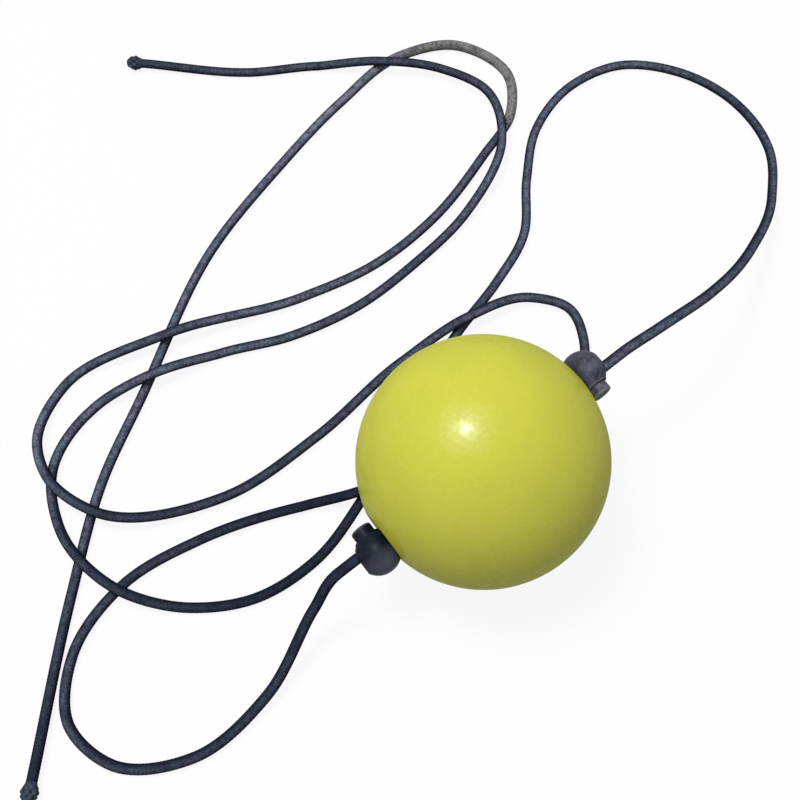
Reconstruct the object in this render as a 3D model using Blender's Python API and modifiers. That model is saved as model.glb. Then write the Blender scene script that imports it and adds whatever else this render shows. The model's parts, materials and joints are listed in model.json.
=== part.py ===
"""Boxing reflex ball: a soft ball on an elastic cord, held between two spring cord locks.

Metres, +Z up. The ball rests on the floor at the origin. One cord runs through it, comes out of a
lock on each side, and lies loose on the floor down to a stopper knot in each end.
"""

import math

import bmesh
import bpy
from mathutils import Euler, Matrix, Vector

MM = 0.001

# Ball
BALL_DIAMETER = 66 * MM
REST_DEPTH = 0.25 * MM  # the soft ball goes flat by this much where it rests
BORE_CLEARANCE = 0.5 * MM  # round the cord
RIM_ROUND = 0.8 * MM  # soft edge of the dish at each mouth of the bore
BORE_AZIMUTH = math.radians(37)  # the bore's heading, seen from above
BORE_TILT = math.radians(8.5)  # its upper end stands higher
BUTTON_ROLL = math.radians(4)  # the buttons' turn about the bore

# Cord
CORD_DIAMETER = 3 * MM
CROSSING_GAP = 0.8 * MM  # between two strands that cross
JOIN_GAP = 0.3 * MM  # between the cord's separate stretches
STRAIGHT_EXIT = 6 * MM  # how far the cord runs straight out of a lock

# Cord lock
BULB_SINK = 3.2 * MM  # how deep the bulb beds into the ball
SEAT_GAP = 0.3 * MM  # bulb to the dish it beds in, and spring to its two seats
BASE_WALL = 1.35 * MM  # under the spring
BASE_TRIM = 0.2 * MM  # the bulb's foot is cut flat by this much
FLAT_DEPTH = 0.8 * MM  # the bulb's sides are cut flat by this much, where the cord goes in and out
HOLE_CLEARANCE = 0.4 * MM  # lock's cross hole round the cord
HOLE_COVER = 1 * MM  # wall over the cross hole, up to the mouth
COLLAR_WALL = 0.5 * MM
COLLAR_HEIGHT = 0.35 * MM  # stands out of the bulb
COLLAR_CHAMFER = 0.2 * MM

# Plunger and its spring
SLOT_CLEARANCE = 0.35 * MM  # round the cord
PLUNGER_WEB = 1.05 * MM  # at either side of the slot
PLUNGER_FOOT = 1 * MM  # under the slot
PLUNGER_CLEARANCE = 0.3 * MM
PLUNGER_CHAMFER = 0.4 * MM
BUTTON_HEIGHT = 3 * MM  # stands out of the mouth
PRESS_TRAVEL = 1.5 * MM
SPRING_SPACE = 3.6 * MM  # height left for the spring
SPRING_WIRE = 0.35 * MM
SPRING_CLEARANCE = 0.7 * MM  # to the cavity's wall
SPRING_TURNS = 3

# Stopper knot, pulled tight
KNOT_DIAMETER = 5 * MM  # over its strands
KNOT_LENGTH = 5.6 * MM
KNOT_FLARE = 2.5 * MM  # from the cord's end to the knot's widest place
STRAND_RELIEF = 1.5 * MM  # how deep the knot sinks between its strands
STRANDS = 6  # winding each way
STRAND_TWIST = math.radians(130)  # along the knot

# Fineness of the meshes
BALL_STEPS = 48
LOCK_STEPS = 28
HOLE_STEPS = 16
KNOT_STEPS = 48
KNOT_RINGS = 8  # on the flare, and as many on the head
ARC_STEP = math.radians(9)
COIL_POINTS = 10  # per turn of the spring
CORD_TURN = math.radians(15)  # the most that a cord bends between two facets
CORD_SAG = 0.5 * MM  # the most that a facet strays from the cord's curve
CORD_FINENESS = 24  # places tried for facets between two route points

# What follows from those sizes
BALL_RADIUS = BALL_DIAMETER / 2
BALL_CENTRE = Vector((0, 0, BALL_RADIUS - REST_DEPTH))
CORD_RADIUS = CORD_DIAMETER / 2
BORE_RADIUS = CORD_RADIUS + BORE_CLEARANCE
HOLE_RADIUS = CORD_RADIUS + HOLE_CLEARANCE
SLOT_RADIUS = CORD_RADIUS + SLOT_CLEARANCE
PLUNGER_RADIUS = SLOT_RADIUS + PLUNGER_WEB
CAVITY_RADIUS = PLUNGER_RADIUS + PLUNGER_CLEARANCE
COLLAR_RADIUS = CAVITY_RADIUS + COLLAR_WALL
SPRING_RADIUS = CAVITY_RADIUS - SPRING_CLEARANCE - SPRING_WIRE / 2
KNOT_RADIUS = KNOT_DIAMETER / 2
# Heights in a lock, along its plunger from the cord's centre line.
MOUTH = HOLE_RADIUS + HOLE_COVER
BUTTON_TOP = MOUTH + BUTTON_HEIGHT
PLUNGER_BOTTOM = -SLOT_RADIUS - PLUNGER_FOOT
CAVITY_FLOOR = PLUNGER_BOTTOM - SPRING_SPACE
BASE = CAVITY_FLOOR - BASE_WALL
# The bulb is the sphere that carries the collar on its top and has its foot at the base.
BULB_HEIGHT = MOUTH - COLLAR_HEIGHT - BASE + BASE_TRIM
BULB_RADIUS = (BULB_HEIGHT**2 + COLLAR_RADIUS**2) / (2 * BULB_HEIGHT)
BULB_CENTRE = BASE - BASE_TRIM + BULB_RADIUS
FLAT_REACH = BULB_RADIUS - FLAT_DEPTH
# Distances from the ball's centre, to a lock's frame and to where the cord leaves the lock.
LOCK_REACH = BALL_RADIUS - BULB_SINK + BULB_RADIUS
EXIT_REACH = LOCK_REACH + FLAT_REACH

# The cord's routes over the floor: x, y and the lift of its underside, in millimetres.
OVER = (CORD_DIAMETER + CROSSING_GAP) / MM
KNOT_LIFT = (KNOT_RADIUS - CORD_RADIUS) / MM
UPPER_ROUTE = [
    (47.1, 34.3, 40.2), (64.9, 50.1, 32), (83.4, 74.5, 16.5), (96.4, 101.5, 4), (98.9, 125.1, 0),
    (89.3, 143.3, 0), (73.5, 154.5, 0), (53.5, 157.6, 0), (35.9, 148.6, 0), (23.7, 131.1, 0),
    (19.5, 110.5, 0), (17.6, 89.5, 0), (8.2, 71.9, 0), (-3.9, 54.7, 0), (-18.8, 27.7, 0),
    (-31.9, 1.4, 0), (-44.9, -17.1, 0), (-61.1, -27.8, 0), (-80.5, -30.3, 0), (-98.7, -26, OVER),
    (-110, -17.2, OVER), (-118.1, -5.1, 0), (-121.1, 10, 0), (-112.1, 28.6, 0), (-95, 38.5, OVER),
    (-75.5, 47.5, 0), (-54.5, 53.4, 0), (-34.6, 63.7, 0), (-16.7, 79.2, 0), (-0.3, 97.4, 1),
    (11.7, 123.6, OVER), (7, 146, 2), (-7.9, 154.2, 2.5), (-28, 156.2, OVER), (-49.5, 157.3, 0),
    (-72, 154.6, 0), (-108.5, 157.6, KNOT_LIFT),
]
LOWER_ROUTE = [
    (-43.8, -34.5, 14.2), (-56.5, -54.5, 1.5), (-74, -69.6, 0), (-95.5, -71.8, 0), (-108, -61.7, 0),
    (-109.1, -43.3, 0), (-97.8, -24.2, 0), (-77.5, -11.1, 0), (-49.4, -1.2, 0), (-32.6, 2.1, OVER),
    (-11.9, 13.7, 0), (32.6, 40.5, 0), (34.2, 51, 0), (30.2, 63.2, 0), (19, 66.3, 1), (-1, 57.9, OVER),
    (-20.2, 45.3, 0), (-45.5, 20.5, 0), (-70.5, 2.1, 0), (-106.5, -4.1, OVER), (-120.6, 5.5, OVER),
    (-126.1, 18.5, 2), (-120.8, 36.8, 0), (-91.9, 51.9, OVER), (-51.9, 66.8, 0), (-29.9, 78.3, 0),
    (-10.8, 95.8, 0), (5.8, 120.1, 0), (15.3, 137.1, 0), (14.7, 154.1, 0), (-2.5, 166.2, 0),
    (-21.9, 161.3, 0), (-41.3, 141.8, 0), (-61.3, 114.8, 0), (-79.4, 86, 0), (-98.2, 31.6, 0),
    (-106.3, 7, 0), (-111.3, -26, 0), (-115.5, -76, KNOT_LIFT),
]


def clear_scene():
    for item in list(bpy.data.objects):
        bpy.data.objects.remove(item, do_unlink=True)


def collection(name):
    made = bpy.data.collections.new(name)
    bpy.context.scene.collection.children.link(made)
    return made


def material(name, colour, roughness, metallic=0.0):
    made = bpy.data.materials.new(name)
    made.use_nodes = True
    shader = made.node_tree.nodes["Principled BSDF"]
    shader.inputs["Base Color"].default_value = (*colour, 1)
    shader.inputs["Roughness"].default_value = roughness
    shader.inputs["Metallic"].default_value = metallic
    return made


def place(name, data, group, parent=None, finish=None):
    """Put a mesh, a curve or, with no data, an empty into a collection."""
    made = bpy.data.objects.new(name, data)
    group.objects.link(made)
    made.parent = parent
    if finish:
        data.materials.append(finish)
    return made


def arc(centre, radius, start, end):
    """Points of an arc, with angles counted from the profile's +Z towards +X."""
    count = max(2, math.ceil(abs(end - start) / ARC_STEP))
    angles = [start + (end - start) * i / count for i in range(count + 1)]
    return [(centre[0] + radius * math.sin(a), centre[1] + radius * math.cos(a)) for a in angles]


def turned(name, profile, steps, group, parent, finish, closed=False):
    """A piece whose profile, in (radius, height) pairs, is turned about Z by a Screw modifier."""
    mesh = bpy.data.meshes.new(name)
    edges = [(i, i + 1) for i in range(len(profile) - 1)]
    if closed:
        edges.append((len(profile) - 1, 0))
    mesh.from_pydata([(radius, 0, height) for radius, height in profile], edges, [])
    made = place(name, mesh, group, parent, finish)
    screw = made.modifiers.new("Turn", "SCREW")
    screw.axis = "Z"
    screw.angle = 2 * math.pi
    screw.steps = screw.render_steps = steps
    screw.use_smooth_shade = True
    screw.use_merge_vertices = True
    screw.merge_threshold = 0.001 * MM
    return made


def add_cut(item, cutter, operation="DIFFERENCE"):
    cut = item.modifiers.new("Cut " + cutter.name, "BOOLEAN")
    cut.operation = operation
    cut.solver = "EXACT"
    cut.object = cutter


def place_cutter(name, mesh, group, parent=None):
    cutter = place(name, mesh, group, parent)
    cutter.hide_render = True
    cutter.display_type = "WIRE"
    return cutter


def block(name, size):
    shape = bmesh.new()
    bmesh.ops.create_cube(shape, size=1, matrix=Matrix.Diagonal((*size, 1)))
    mesh = bpy.data.meshes.new(name)
    shape.to_mesh(mesh)
    shape.free()
    return mesh


def cross_cylinder(name, radius, length, stretch=0.0):
    """A cylinder along X. A stretch pulls its upper half up into a slot's shape."""
    shape = bmesh.new()
    half_step = Matrix.Rotation(math.pi / HOLE_STEPS, 4, "X")
    lie_down = Matrix.Rotation(math.pi / 2, 4, "Y")
    bmesh.ops.create_cone(
        shape, cap_ends=True, segments=HOLE_STEPS, radius1=radius, radius2=radius, depth=length,
        matrix=half_step @ lie_down,
    )
    for corner in shape.verts:
        if corner.co.z > 0:
            corner.co.z += stretch
    mesh = bpy.data.meshes.new(name)
    shape.to_mesh(mesh)
    shape.free()
    return mesh


def smooth_path(points, heading, floor):
    """A smooth curve that sets off along the heading, as a polyline with a corner wherever it needs one."""
    spans = [b - a for a, b in zip(points, points[1:])]
    slopes = [heading]
    for before, after in zip(spans, spans[1:]):
        weighed = before.normalized() * after.length + after.normalized() * before.length
        slopes.append(weighed / (before.length + after.length))
    slopes.append(spans[-1].normalized())

    fine = [points[0]]
    for i, span in enumerate(spans):
        for step in range(1, CORD_FINENESS + 1):
            s = step / CORD_FINENESS
            bend = slopes[i] * (s - 1) ** 2 * s + slopes[i + 1] * (s - 1) * s**2
            found = points[i] + span * s * s * (3 - 2 * s) + bend * span.length
            found.z = max(found.z, floor)
            fine.append(found)

    path = [fine[0]]
    turned_by = 0
    for before, here, after in zip(fine, fine[1:], fine[2:]):
        turned_by += (here - before).angle(after - here)
        sag = turned_by * (here - path[-1]).length / 8  # as an arc's
        if turned_by > CORD_TURN or sag > CORD_SAG:
            path.append(here)
            turned_by = 0
    path.append(fine[-1])
    return path


def tube(name, points, diameter, sides_resolution=2):
    """A round tube with closed ends."""
    curve = bpy.data.curves.new(name, "CURVE")
    curve.dimensions = "3D"
    curve.bevel_depth = diameter / 2
    curve.bevel_resolution = sides_resolution
    curve.use_fill_caps = True
    spline = curve.splines.new("POLY")
    spline.points.add(len(points) - 1)
    for i, point in enumerate(points):
        spline.points[i].co = (*point, 1)
    return curve


def least_gap(points, diameter):
    """The narrowest gap between a tube's surface and its own, beyond the neighbouring stretch."""
    run = [0.0]
    for a, b in zip(points, points[1:]):
        run.append(run[-1] + (b - a).length)
    neighbouring = 3 * diameter
    gaps = [
        (points[i] - points[j]).length - diameter
        for i in range(len(points))
        for j in range(i)
        if run[i] - run[j] > neighbouring
    ]
    return min(gaps)


def bearing(start, end):
    """The direction from one profile point to another, counted as in arc."""
    return math.atan2(end[0] - start[0], end[1] - start[1])


def ball_profile():
    """Half the ball's section, with a dish at each mouth of the bore that the bulb beds in."""
    dish_radius = BULB_RADIUS + SEAT_GAP
    dish_centre = (abs(BULB_CENTRE), LOCK_REACH)
    # The rim's rounding touches the ball's arc from inside and the dish's from outside. Its centre
    # lies at known distances from both of theirs, so the law of cosines gives its bearing.
    inside = BALL_RADIUS - RIM_ROUND
    outside = dish_radius + RIM_ROUND
    apart = math.hypot(*dish_centre)
    between = math.acos((inside**2 + apart**2 - outside**2) / (2 * inside * apart))
    rim = bearing((0, 0), dish_centre) + between
    rim_centre = (inside * math.sin(rim), inside * math.cos(rim))
    to_rim = bearing(dish_centre, rim_centre)
    at_bore = math.pi - math.asin(max(0, BORE_RADIUS - dish_centre[0]) / dish_radius)

    upper = arc(dish_centre, dish_radius, at_bore, to_rim)
    upper += arc(rim_centre, RIM_ROUND, to_rim - math.pi, rim)[1:]
    if BORE_RADIUS < dish_centre[0]:
        upper.insert(0, (BORE_RADIUS, upper[0][1]))
    lower = [(radius, -height) for radius, height in reversed(upper)]
    skin = arc((0, 0), BALL_RADIUS, rim, math.pi - rim)
    return upper + skin[1:-1] + lower


def lock_profile():
    """The lock body's section: up its cavity, over the mouth and down the bulb to the foot."""
    collar_foot = math.asin(COLLAR_RADIUS / BULB_RADIUS)
    foot = math.acos((BASE - BULB_CENTRE) / BULB_RADIUS)
    return [
        (0, CAVITY_FLOOR),
        (CAVITY_RADIUS, CAVITY_FLOOR),
        (CAVITY_RADIUS, MOUTH),
        (COLLAR_RADIUS - COLLAR_CHAMFER, MOUTH),
        (COLLAR_RADIUS, MOUTH - COLLAR_CHAMFER),
        *arc((0, BULB_CENTRE), BULB_RADIUS, collar_foot, foot),
        (0, BASE),
    ]


def plunger_profile():
    return [
        (0, BUTTON_TOP),
        (PLUNGER_RADIUS - PLUNGER_CHAMFER, BUTTON_TOP),
        (PLUNGER_RADIUS, BUTTON_TOP - PLUNGER_CHAMFER),
        (PLUNGER_RADIUS, PLUNGER_BOTTOM),
        (0, PLUNGER_BOTTOM),
    ]


def spring_points():
    low = CAVITY_FLOOR + SEAT_GAP + SPRING_WIRE / 2
    high = PLUNGER_BOTTOM - SEAT_GAP - SPRING_WIRE / 2
    count = SPRING_TURNS * COIL_POINTS
    points = []
    for i in range(count + 1):
        turn = 2 * math.pi * i / COIL_POINTS
        round_axis = Vector((math.cos(turn), math.sin(turn), 0)) * SPRING_RADIUS
        points.append(round_axis + Vector((0, 0, low + (high - low) * i / count)))
    return points


def knot_profile():
    """The section over the knot's strands: flaring out of the cord, then round to the tip."""
    head = KNOT_LENGTH - KNOT_FLARE
    profile = [(0, 0)]
    for i in range(KNOT_RINGS):
        share = i / KNOT_RINGS
        eased = share * share * (3 - 2 * share)
        profile.append((CORD_RADIUS + (KNOT_RADIUS - CORD_RADIUS) * eased, KNOT_FLARE * share))
    for i in range(KNOT_RINGS):
        turn = math.pi / 2 * i / KNOT_RINGS
        profile.append((KNOT_RADIUS * math.cos(turn), KNOT_FLARE + head * math.sin(turn)))
    profile.append((0, KNOT_LENGTH))
    return profile


def sink_between_strands(shape):
    """Leave the knot full only where its strands cross, winding round it both ways."""
    for corner in shape.verts:
        radius = math.hypot(corner.co.x, corner.co.y)
        around = math.atan2(corner.co.y, corner.co.x)
        twist = STRAND_TWIST * corner.co.z / KNOT_LENGTH
        full = [abs(math.cos(STRANDS / 2 * (around + way * twist))) for way in (1, -1)]
        fade = min(1, corner.co.z / KNOT_FLARE) * radius / KNOT_RADIUS
        sink = (1 - sum(full) / 2) * fade * STRAND_RELIEF
        corner.co.x -= sink * math.cos(around)
        corner.co.y -= sink * math.sin(around)


def make_ball(parts, cutters, bore_frame, finish):
    ball = turned("ball", ball_profile(), BALL_STEPS, parts, bore_frame, finish, closed=True)
    ball.rotation_euler = (0, math.pi / 2, 0)
    below = block("floor_cutter", (BALL_RADIUS, BALL_RADIUS, BALL_RADIUS))
    cutter = place_cutter("floor_cutter", below, cutters)
    cutter.location.z = -BALL_RADIUS / 2
    add_cut(ball, cutter)


def make_lock(name, parts, cutters, frame, finishes):
    """A lock's body, plunger and spring about its frame: Z out along the plunger, X along the bore."""
    through = 4 * BULB_RADIUS
    body = turned(name + "_body", lock_profile(), LOCK_STEPS, parts, frame, finishes["lock"])
    slab = block(name + "_flats", (2 * FLAT_REACH, through, through))
    add_cut(body, place_cutter(name + "_flats", slab, cutters, frame), "INTERSECT")
    hole = cross_cylinder(name + "_hole", HOLE_RADIUS, through)
    add_cut(body, place_cutter(name + "_hole", hole, cutters, frame))

    plunger = turned(
        name + "_plunger", plunger_profile(), LOCK_STEPS, parts, frame, finishes["plunger"]
    )
    slot = cross_cylinder(name + "_slot", SLOT_RADIUS, through, stretch=PRESS_TRAVEL)
    add_cut(plunger, place_cutter(name + "_slot", slot, cutters, frame))

    points = spring_points()
    wire = tube(name + "_spring", points, SPRING_WIRE, sides_resolution=1)
    place(name + "_spring", wire, parts, frame, finishes["spring"])
    print(f"{name} spring, least gap: {least_gap(points, SPRING_WIRE) / MM:.2f} mm")


def make_cord(name, parts, bore_axis, side, route, finish):
    """A free cord from its lock to its last route point. Returns its end and the end's heading."""
    out = bore_axis * side
    start = BALL_CENTRE + out * (EXIT_REACH + JOIN_GAP)
    points = [start + out * STRAIGHT_EXIT]
    points += [Vector((x, y, lift)) * MM + Vector((0, 0, CORD_RADIUS)) for x, y, lift in route]
    path = [start] + smooth_path(points, heading=out, floor=CORD_RADIUS)
    place(name, tube(name, path, CORD_DIAMETER), parts, None, finish)
    length = sum((b - a).length for a, b in zip(path, path[1:]))
    gap = least_gap(path, CORD_DIAMETER) / MM
    print(f"{name}: {length:.3f} m long, {len(path)} points, least gap {gap:.2f} mm")
    return path[-1], path[-1] - path[-2]


def make_knot(name, parts, end, heading, finish):
    """A stopper knot at the cord's end, lying on the floor along the cord's heading."""
    shape = bmesh.new()
    profile = [shape.verts.new((radius, 0, height)) for radius, height in knot_profile()]
    edges = [shape.edges.new(pair) for pair in zip(profile, profile[1:])]
    bmesh.ops.spin(
        shape, geom=profile + edges, axis=(0, 0, 1), cent=(0, 0, 0),
        angle=2 * math.pi, steps=KNOT_STEPS, use_merge=True,
    )
    bmesh.ops.remove_doubles(shape, verts=shape.verts[:], dist=0.001 * MM)
    sink_between_strands(shape)
    bmesh.ops.recalc_face_normals(shape, faces=shape.faces[:])
    mesh = bpy.data.meshes.new(name)
    shape.to_mesh(mesh)
    shape.free()
    mesh.shade_smooth()
    knot = place(name, mesh, parts, None, finish)
    level = Vector((heading.x, heading.y, 0)).normalized()
    knot.location = end + level * JOIN_GAP
    knot.rotation_euler = (0, math.pi / 2, math.atan2(level.y, level.x))


def main():
    clear_scene()
    parts = collection("boxing_reflex_ball")
    cutters = collection("cutters")
    finishes = {
        "ball": material("ball_foam", (0.60, 0.62, 0.06), 0.45),
        "cord": material("cord_braid", (0.022, 0.024, 0.036), 0.75),
        "lock": material("lock_plastic", (0.030, 0.034, 0.046), 0.5),
        "plunger": material("plunger_plastic", (0.036, 0.040, 0.052), 0.45),
        "spring": material("spring_steel", (0.60, 0.60, 0.62), 0.3, metallic=1.0),
    }

    # The bore's frame: X along the bore to its upper end, -Y the way the upper lock's button points.
    turn = Euler((BUTTON_ROLL, -BORE_TILT, BORE_AZIMUTH))
    bore_frame = place("bore_frame", None, parts)
    bore_frame.location = BALL_CENTRE
    bore_frame.rotation_euler = turn
    bore_axis = turn.to_matrix() @ Vector((1, 0, 0))

    make_ball(parts, cutters, bore_frame, finishes["ball"])
    run = [Vector((-EXIT_REACH, 0, 0)), Vector((EXIT_REACH, 0, 0))]
    place("cord_through", tube("cord_through", run, CORD_DIAMETER), parts, bore_frame, finishes["cord"])

    for name, side, facing, route in (
        ("upper", 1, 0, UPPER_ROUTE),
        ("lower", -1, math.pi, LOWER_ROUTE),
    ):
        frame = place(name + "_lock_frame", None, parts, bore_frame)
        frame.location.x = side * LOCK_REACH
        frame.rotation_euler = (math.pi / 2, 0, facing)
        make_lock(name + "_lock", parts, cutters, frame, finishes)
        end, heading = make_cord("cord_" + name, parts, bore_axis, side, route, finishes["cord"])
        make_knot("knot_" + name, parts, end, heading, finishes["cord"])


if __name__ == "__main__":
    main()
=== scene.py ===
"""Looks for a boxing reflex ball: a soft ball on a braided elastic cord, held between two cord locks.

The file is laid out as an add-on and run as a script. Metres, +Z up, in the CAD model's frame.
"""

import json
import math

import bpy
import numpy as np
from bpy.props import FloatProperty, FloatVectorProperty, IntProperty, PointerProperty
from bpy.types import Operator, Panel, PropertyGroup
from mathutils import Matrix, Vector


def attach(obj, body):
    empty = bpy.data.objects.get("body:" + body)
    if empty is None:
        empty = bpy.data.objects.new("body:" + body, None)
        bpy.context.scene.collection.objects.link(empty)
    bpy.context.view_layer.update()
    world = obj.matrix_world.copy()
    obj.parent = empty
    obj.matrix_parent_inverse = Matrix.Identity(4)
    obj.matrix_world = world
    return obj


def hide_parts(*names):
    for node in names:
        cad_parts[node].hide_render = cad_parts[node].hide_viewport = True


bl_info = {
    "name": "Boxing Reflex Ball",
    "version": (1, 0, 0),
    "blender": (4, 5, 0),
    "location": "View3D > Sidebar > Reflex Ball",
    "description": "Dresses the reflex ball: foam ball, braided cord, stopper knots and cord locks",
    "category": "Object",
}

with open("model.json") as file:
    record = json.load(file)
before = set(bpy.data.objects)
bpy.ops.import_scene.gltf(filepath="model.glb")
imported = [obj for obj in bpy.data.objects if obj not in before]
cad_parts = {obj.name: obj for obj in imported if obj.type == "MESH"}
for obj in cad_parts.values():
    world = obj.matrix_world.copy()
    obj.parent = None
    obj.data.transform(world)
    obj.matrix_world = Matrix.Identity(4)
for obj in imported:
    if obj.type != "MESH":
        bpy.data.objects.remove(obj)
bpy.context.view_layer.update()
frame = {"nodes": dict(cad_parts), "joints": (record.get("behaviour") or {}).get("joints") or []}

MM = 0.001
NEAR = 0.01 * MM  # what counts as the same place on a mesh
JOINTS = {joint["name"]: joint for joint in frame["joints"]}
BALL_CENTRE = Vector(JOINTS["ball_spin"]["pos_m"])
BORE = Vector(JOINTS["ball_spin"]["axis"]).normalized()
SIDES = {"upper": 1, "lower": -1}

# The cord's routes over the floor: x, y and the lift of its underside, in millimetres.
OVER = 3.8  # where it crosses over another stretch
KNOT_LIFT = 1.0  # where the knot holds it off the floor
ROUTES = {
    "upper": [
        (47.1, 34.3, 40.2), (64.9, 50.1, 32), (83.4, 74.5, 16.5), (96.4, 101.5, 4), (98.9, 125.1, 0),
        (89.3, 143.3, 0), (73.5, 154.5, 0), (53.5, 157.6, 0), (35.9, 148.6, 0), (23.7, 131.1, 0),
        (19.5, 110.5, 0), (17.6, 89.5, 0), (8.2, 71.9, 0), (-3.9, 54.7, 0), (-18.8, 27.7, 0),
        (-31.9, 1.4, 0), (-44.9, -17.1, 0), (-61.1, -27.8, 0), (-80.5, -30.3, 0), (-98.7, -26, OVER),
        (-110, -17.2, OVER), (-118.1, -5.1, 0), (-121.1, 10, 0), (-112.1, 28.6, 0), (-95, 38.5, OVER),
        (-75.5, 47.5, 0), (-54.5, 53.4, 0), (-34.6, 63.7, 0), (-16.7, 79.2, 0), (-0.3, 97.4, 1),
        (11.7, 123.6, OVER), (7, 146, 2), (-7.9, 154.2, 2.5), (-28, 156.2, OVER), (-49.5, 157.3, 0),
        (-72, 154.6, 0), (-108.5, 157.6, KNOT_LIFT),
    ],
    "lower": [
        (-43.8, -34.5, 14.2), (-56.5, -54.5, 1.5), (-74, -69.6, 0), (-95.5, -71.8, 0), (-108, -61.7, 0),
        (-109.1, -43.3, 0), (-97.8, -24.2, 0), (-77.5, -11.1, 0), (-49.4, -1.2, 0), (-32.6, 2.1, OVER),
        (-11.9, 13.7, 0), (32.6, 40.5, 0), (34.2, 51, 0), (30.2, 63.2, 0), (19, 66.3, 1), (-1, 57.9, OVER),
        (-20.2, 45.3, 0), (-45.5, 20.5, 0), (-70.5, 2.1, 0), (-106.5, -4.1, OVER), (-120.6, 5.5, OVER),
        (-126.1, 18.5, 2), (-120.8, 36.8, 0), (-91.9, 51.9, OVER), (-51.9, 66.8, 0), (-29.9, 78.3, 0),
        (-10.8, 95.8, 0), (5.8, 120.1, 0), (15.3, 137.1, 0), (14.7, 154.1, 0), (-2.5, 166.2, 0),
        (-21.9, 161.3, 0), (-41.3, 141.8, 0), (-61.3, 114.8, 0), (-79.4, 86, 0), (-98.2, 31.6, 0),
        (-106.3, 7, 0), (-111.3, -26, 0), (-115.5, -76, KNOT_LIFT),
    ],
}
# How much lighter the cord is painted, from 0 (dark) to 1 (gone grey), at distances in metres back from its
# knot: its real faded and bleached stretches, and painted light that makes the stretches towards the back
# lighter than those in front.
WEAR_AND_PAINTED_LIGHT = {
    "upper": [
        (0.00, 0.20), (0.06, 0.30), (0.11, 0.20), (0.16, 0.55), (0.19, 0.30), (0.26, 0.45), (0.32, 0.50),
        (0.35, 0.20), (0.42, 0.05), (0.50, 0.20), (0.54, 0.45), (0.64, 0.45), (0.68, 0.20), (0.72, 0.35),
        (0.83, 0.45),
    ],
    "lower": [
        (0.00, 0.05), (0.04, 0.20), (0.09, 0.50), (0.16, 0.50), (0.20, 0.55), (0.22, 0.70), (0.28, 1.00),
        (0.325, 1.00), (0.335, 0.35), (0.36, 0.40), (0.44, 0.55), (0.46, 0.30), (0.52, 0.55), (0.55, 0.15),
        (0.60, 0.25), (0.69, 0.40), (0.82, 0.05), (0.90, 0.25), (1.03, 0.10),
    ],
}

PAINTED_LIGHT_WAY = (0, -0.55, 0.83)  # the side of the lying cord that is painted lighter: painted light, with painted shade on its flanks
PAINTED_LIGHT_FALL = 3  # how fast the painted light falls off round the cord
BLEACHED = 0.72  # the wear from which a cord swells and is worn all round
BLEACHED_TINT = (0.58, 0.88)  # the wear over which its tint goes from faded to bleached
UNSHADED_WAY = (0.8, 0, 0.6)  # the side of a lock that is left out of the painted shade: out of the ball, next to the button
PAINTED_SHADE_SPAN = (-0.275, 0.225)  # where the painted shade fades out towards that side, in bulb radii: full painted shade, and none

# How finely the pieces are made.
STEPS_PER_LAY = 4  # rings of a cord in one lay of its braid
STEPS_PER_SPAN = 48  # places worked out between two points of a route
BALL_STEPS, LOCK_STEPS, BUTTON_STEPS, HOLE_SIDES = 144, 96, 80, 48
KNOT_RINGS, KNOT_SIDES = 44, 64
BALL_SMOOTH, LOCK_SMOOTH = math.radians(36), math.radians(38)  # edges below these angles are shaded smooth
QUARTER = math.pi / 2


def length(name, description, default):
    return FloatProperty(
        name=name, description=description, default=default, subtype="DISTANCE", unit="LENGTH"
    )


def share(name, description, default):
    return FloatProperty(
        name=name, description=description, default=default, subtype="FACTOR", min=0, max=1
    )


def level(name, description, default, unit="NONE"):
    return FloatProperty(name=name, description=description, default=default, unit=unit, min=0)


def angle(name, description, default):
    return FloatProperty(
        name=name, description=description, default=math.radians(default), subtype="ANGLE", unit="ROTATION"
    )


def colour(name, description, default):
    return FloatVectorProperty(
        name=name, description=description, default=default, subtype="COLOR", size=3, min=0, max=1
    )


class BallSettings(PropertyGroup):
    diameter: length("Diameter", "Across the ball", 66 * MM)
    bore: length("Bore", "Across the bore that the cord runs through", 4 * MM)
    rim_round: length("Rim", "Rounding of the dish's edge that a lock beds in", 0.8 * MM)
    seat_gap: length("Seat gap", "Between a lock's bulb and its dish", 0.3 * MM)
    skin: colour("Skin", "The foam's satin skin", (0.685, 0.685, 0.062))
    shade: colour("Shade", "The skin where it is a little greener", (0.635, 0.650, 0.055))
    gloss: share("Gloss", "Weight of the skin's gloss where it is least", 0.08)
    gloss_mottle: share("Gloss mottle", "How much heavier the gloss is on the skin's grain", 0.17)
    gloss_roughness: share("Gloss roughness", "How soft the gloss is", 0.20)
    gloss_index: level("Gloss index", "Index of refraction of the gloss", 2.5)


class CordSettings(PropertyGroup):
    diameter: length("Diameter", "Over the braid", 3 * MM)
    strands: IntProperty(name="Strands", description="Strands of the braid that wind each way", default=10)
    lay: length("Lay", "From one strand to the next along the cord", 0.95 * MM)
    relief: length("Relief", "How deep the braid sinks between its strands", 0.05 * MM)
    straight: length("Straight exit", "How far the cord runs straight out of a lock", 6 * MM)
    join: length("Join", "From the ball's centre to where the inner stretch goes on, out of sight", 25 * MM)
    yarn: colour("Yarn", "The braid's dark navy yarn", (0.0055, 0.0087, 0.0190))
    # Painted sheen: the crowns are painted lighter than the yarn between them, standing in for light on the
    # strands and shade between them.
    crown: colour("Crowns", "The strands' crowns, a little lighter", (0.0165, 0.0230, 0.0470))
    faded: colour("Faded yarn", "The stretches that have gone grey", (0.290, 0.365, 0.490))
    mauve: colour("Mauve yarn", "The faded stretches whose dye has turned", (0.340, 0.340, 0.495))
    ash: colour("Ash yarn", "The stretch that has lost its dye", (0.290, 0.280, 0.305))
    tan: colour("Tan yarn", "The tan flecks in that stretch", (0.312, 0.302, 0.270))
    fluff: share("Fluff", "How much thicker the bleached stretch has swollen", 0.14)


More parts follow.
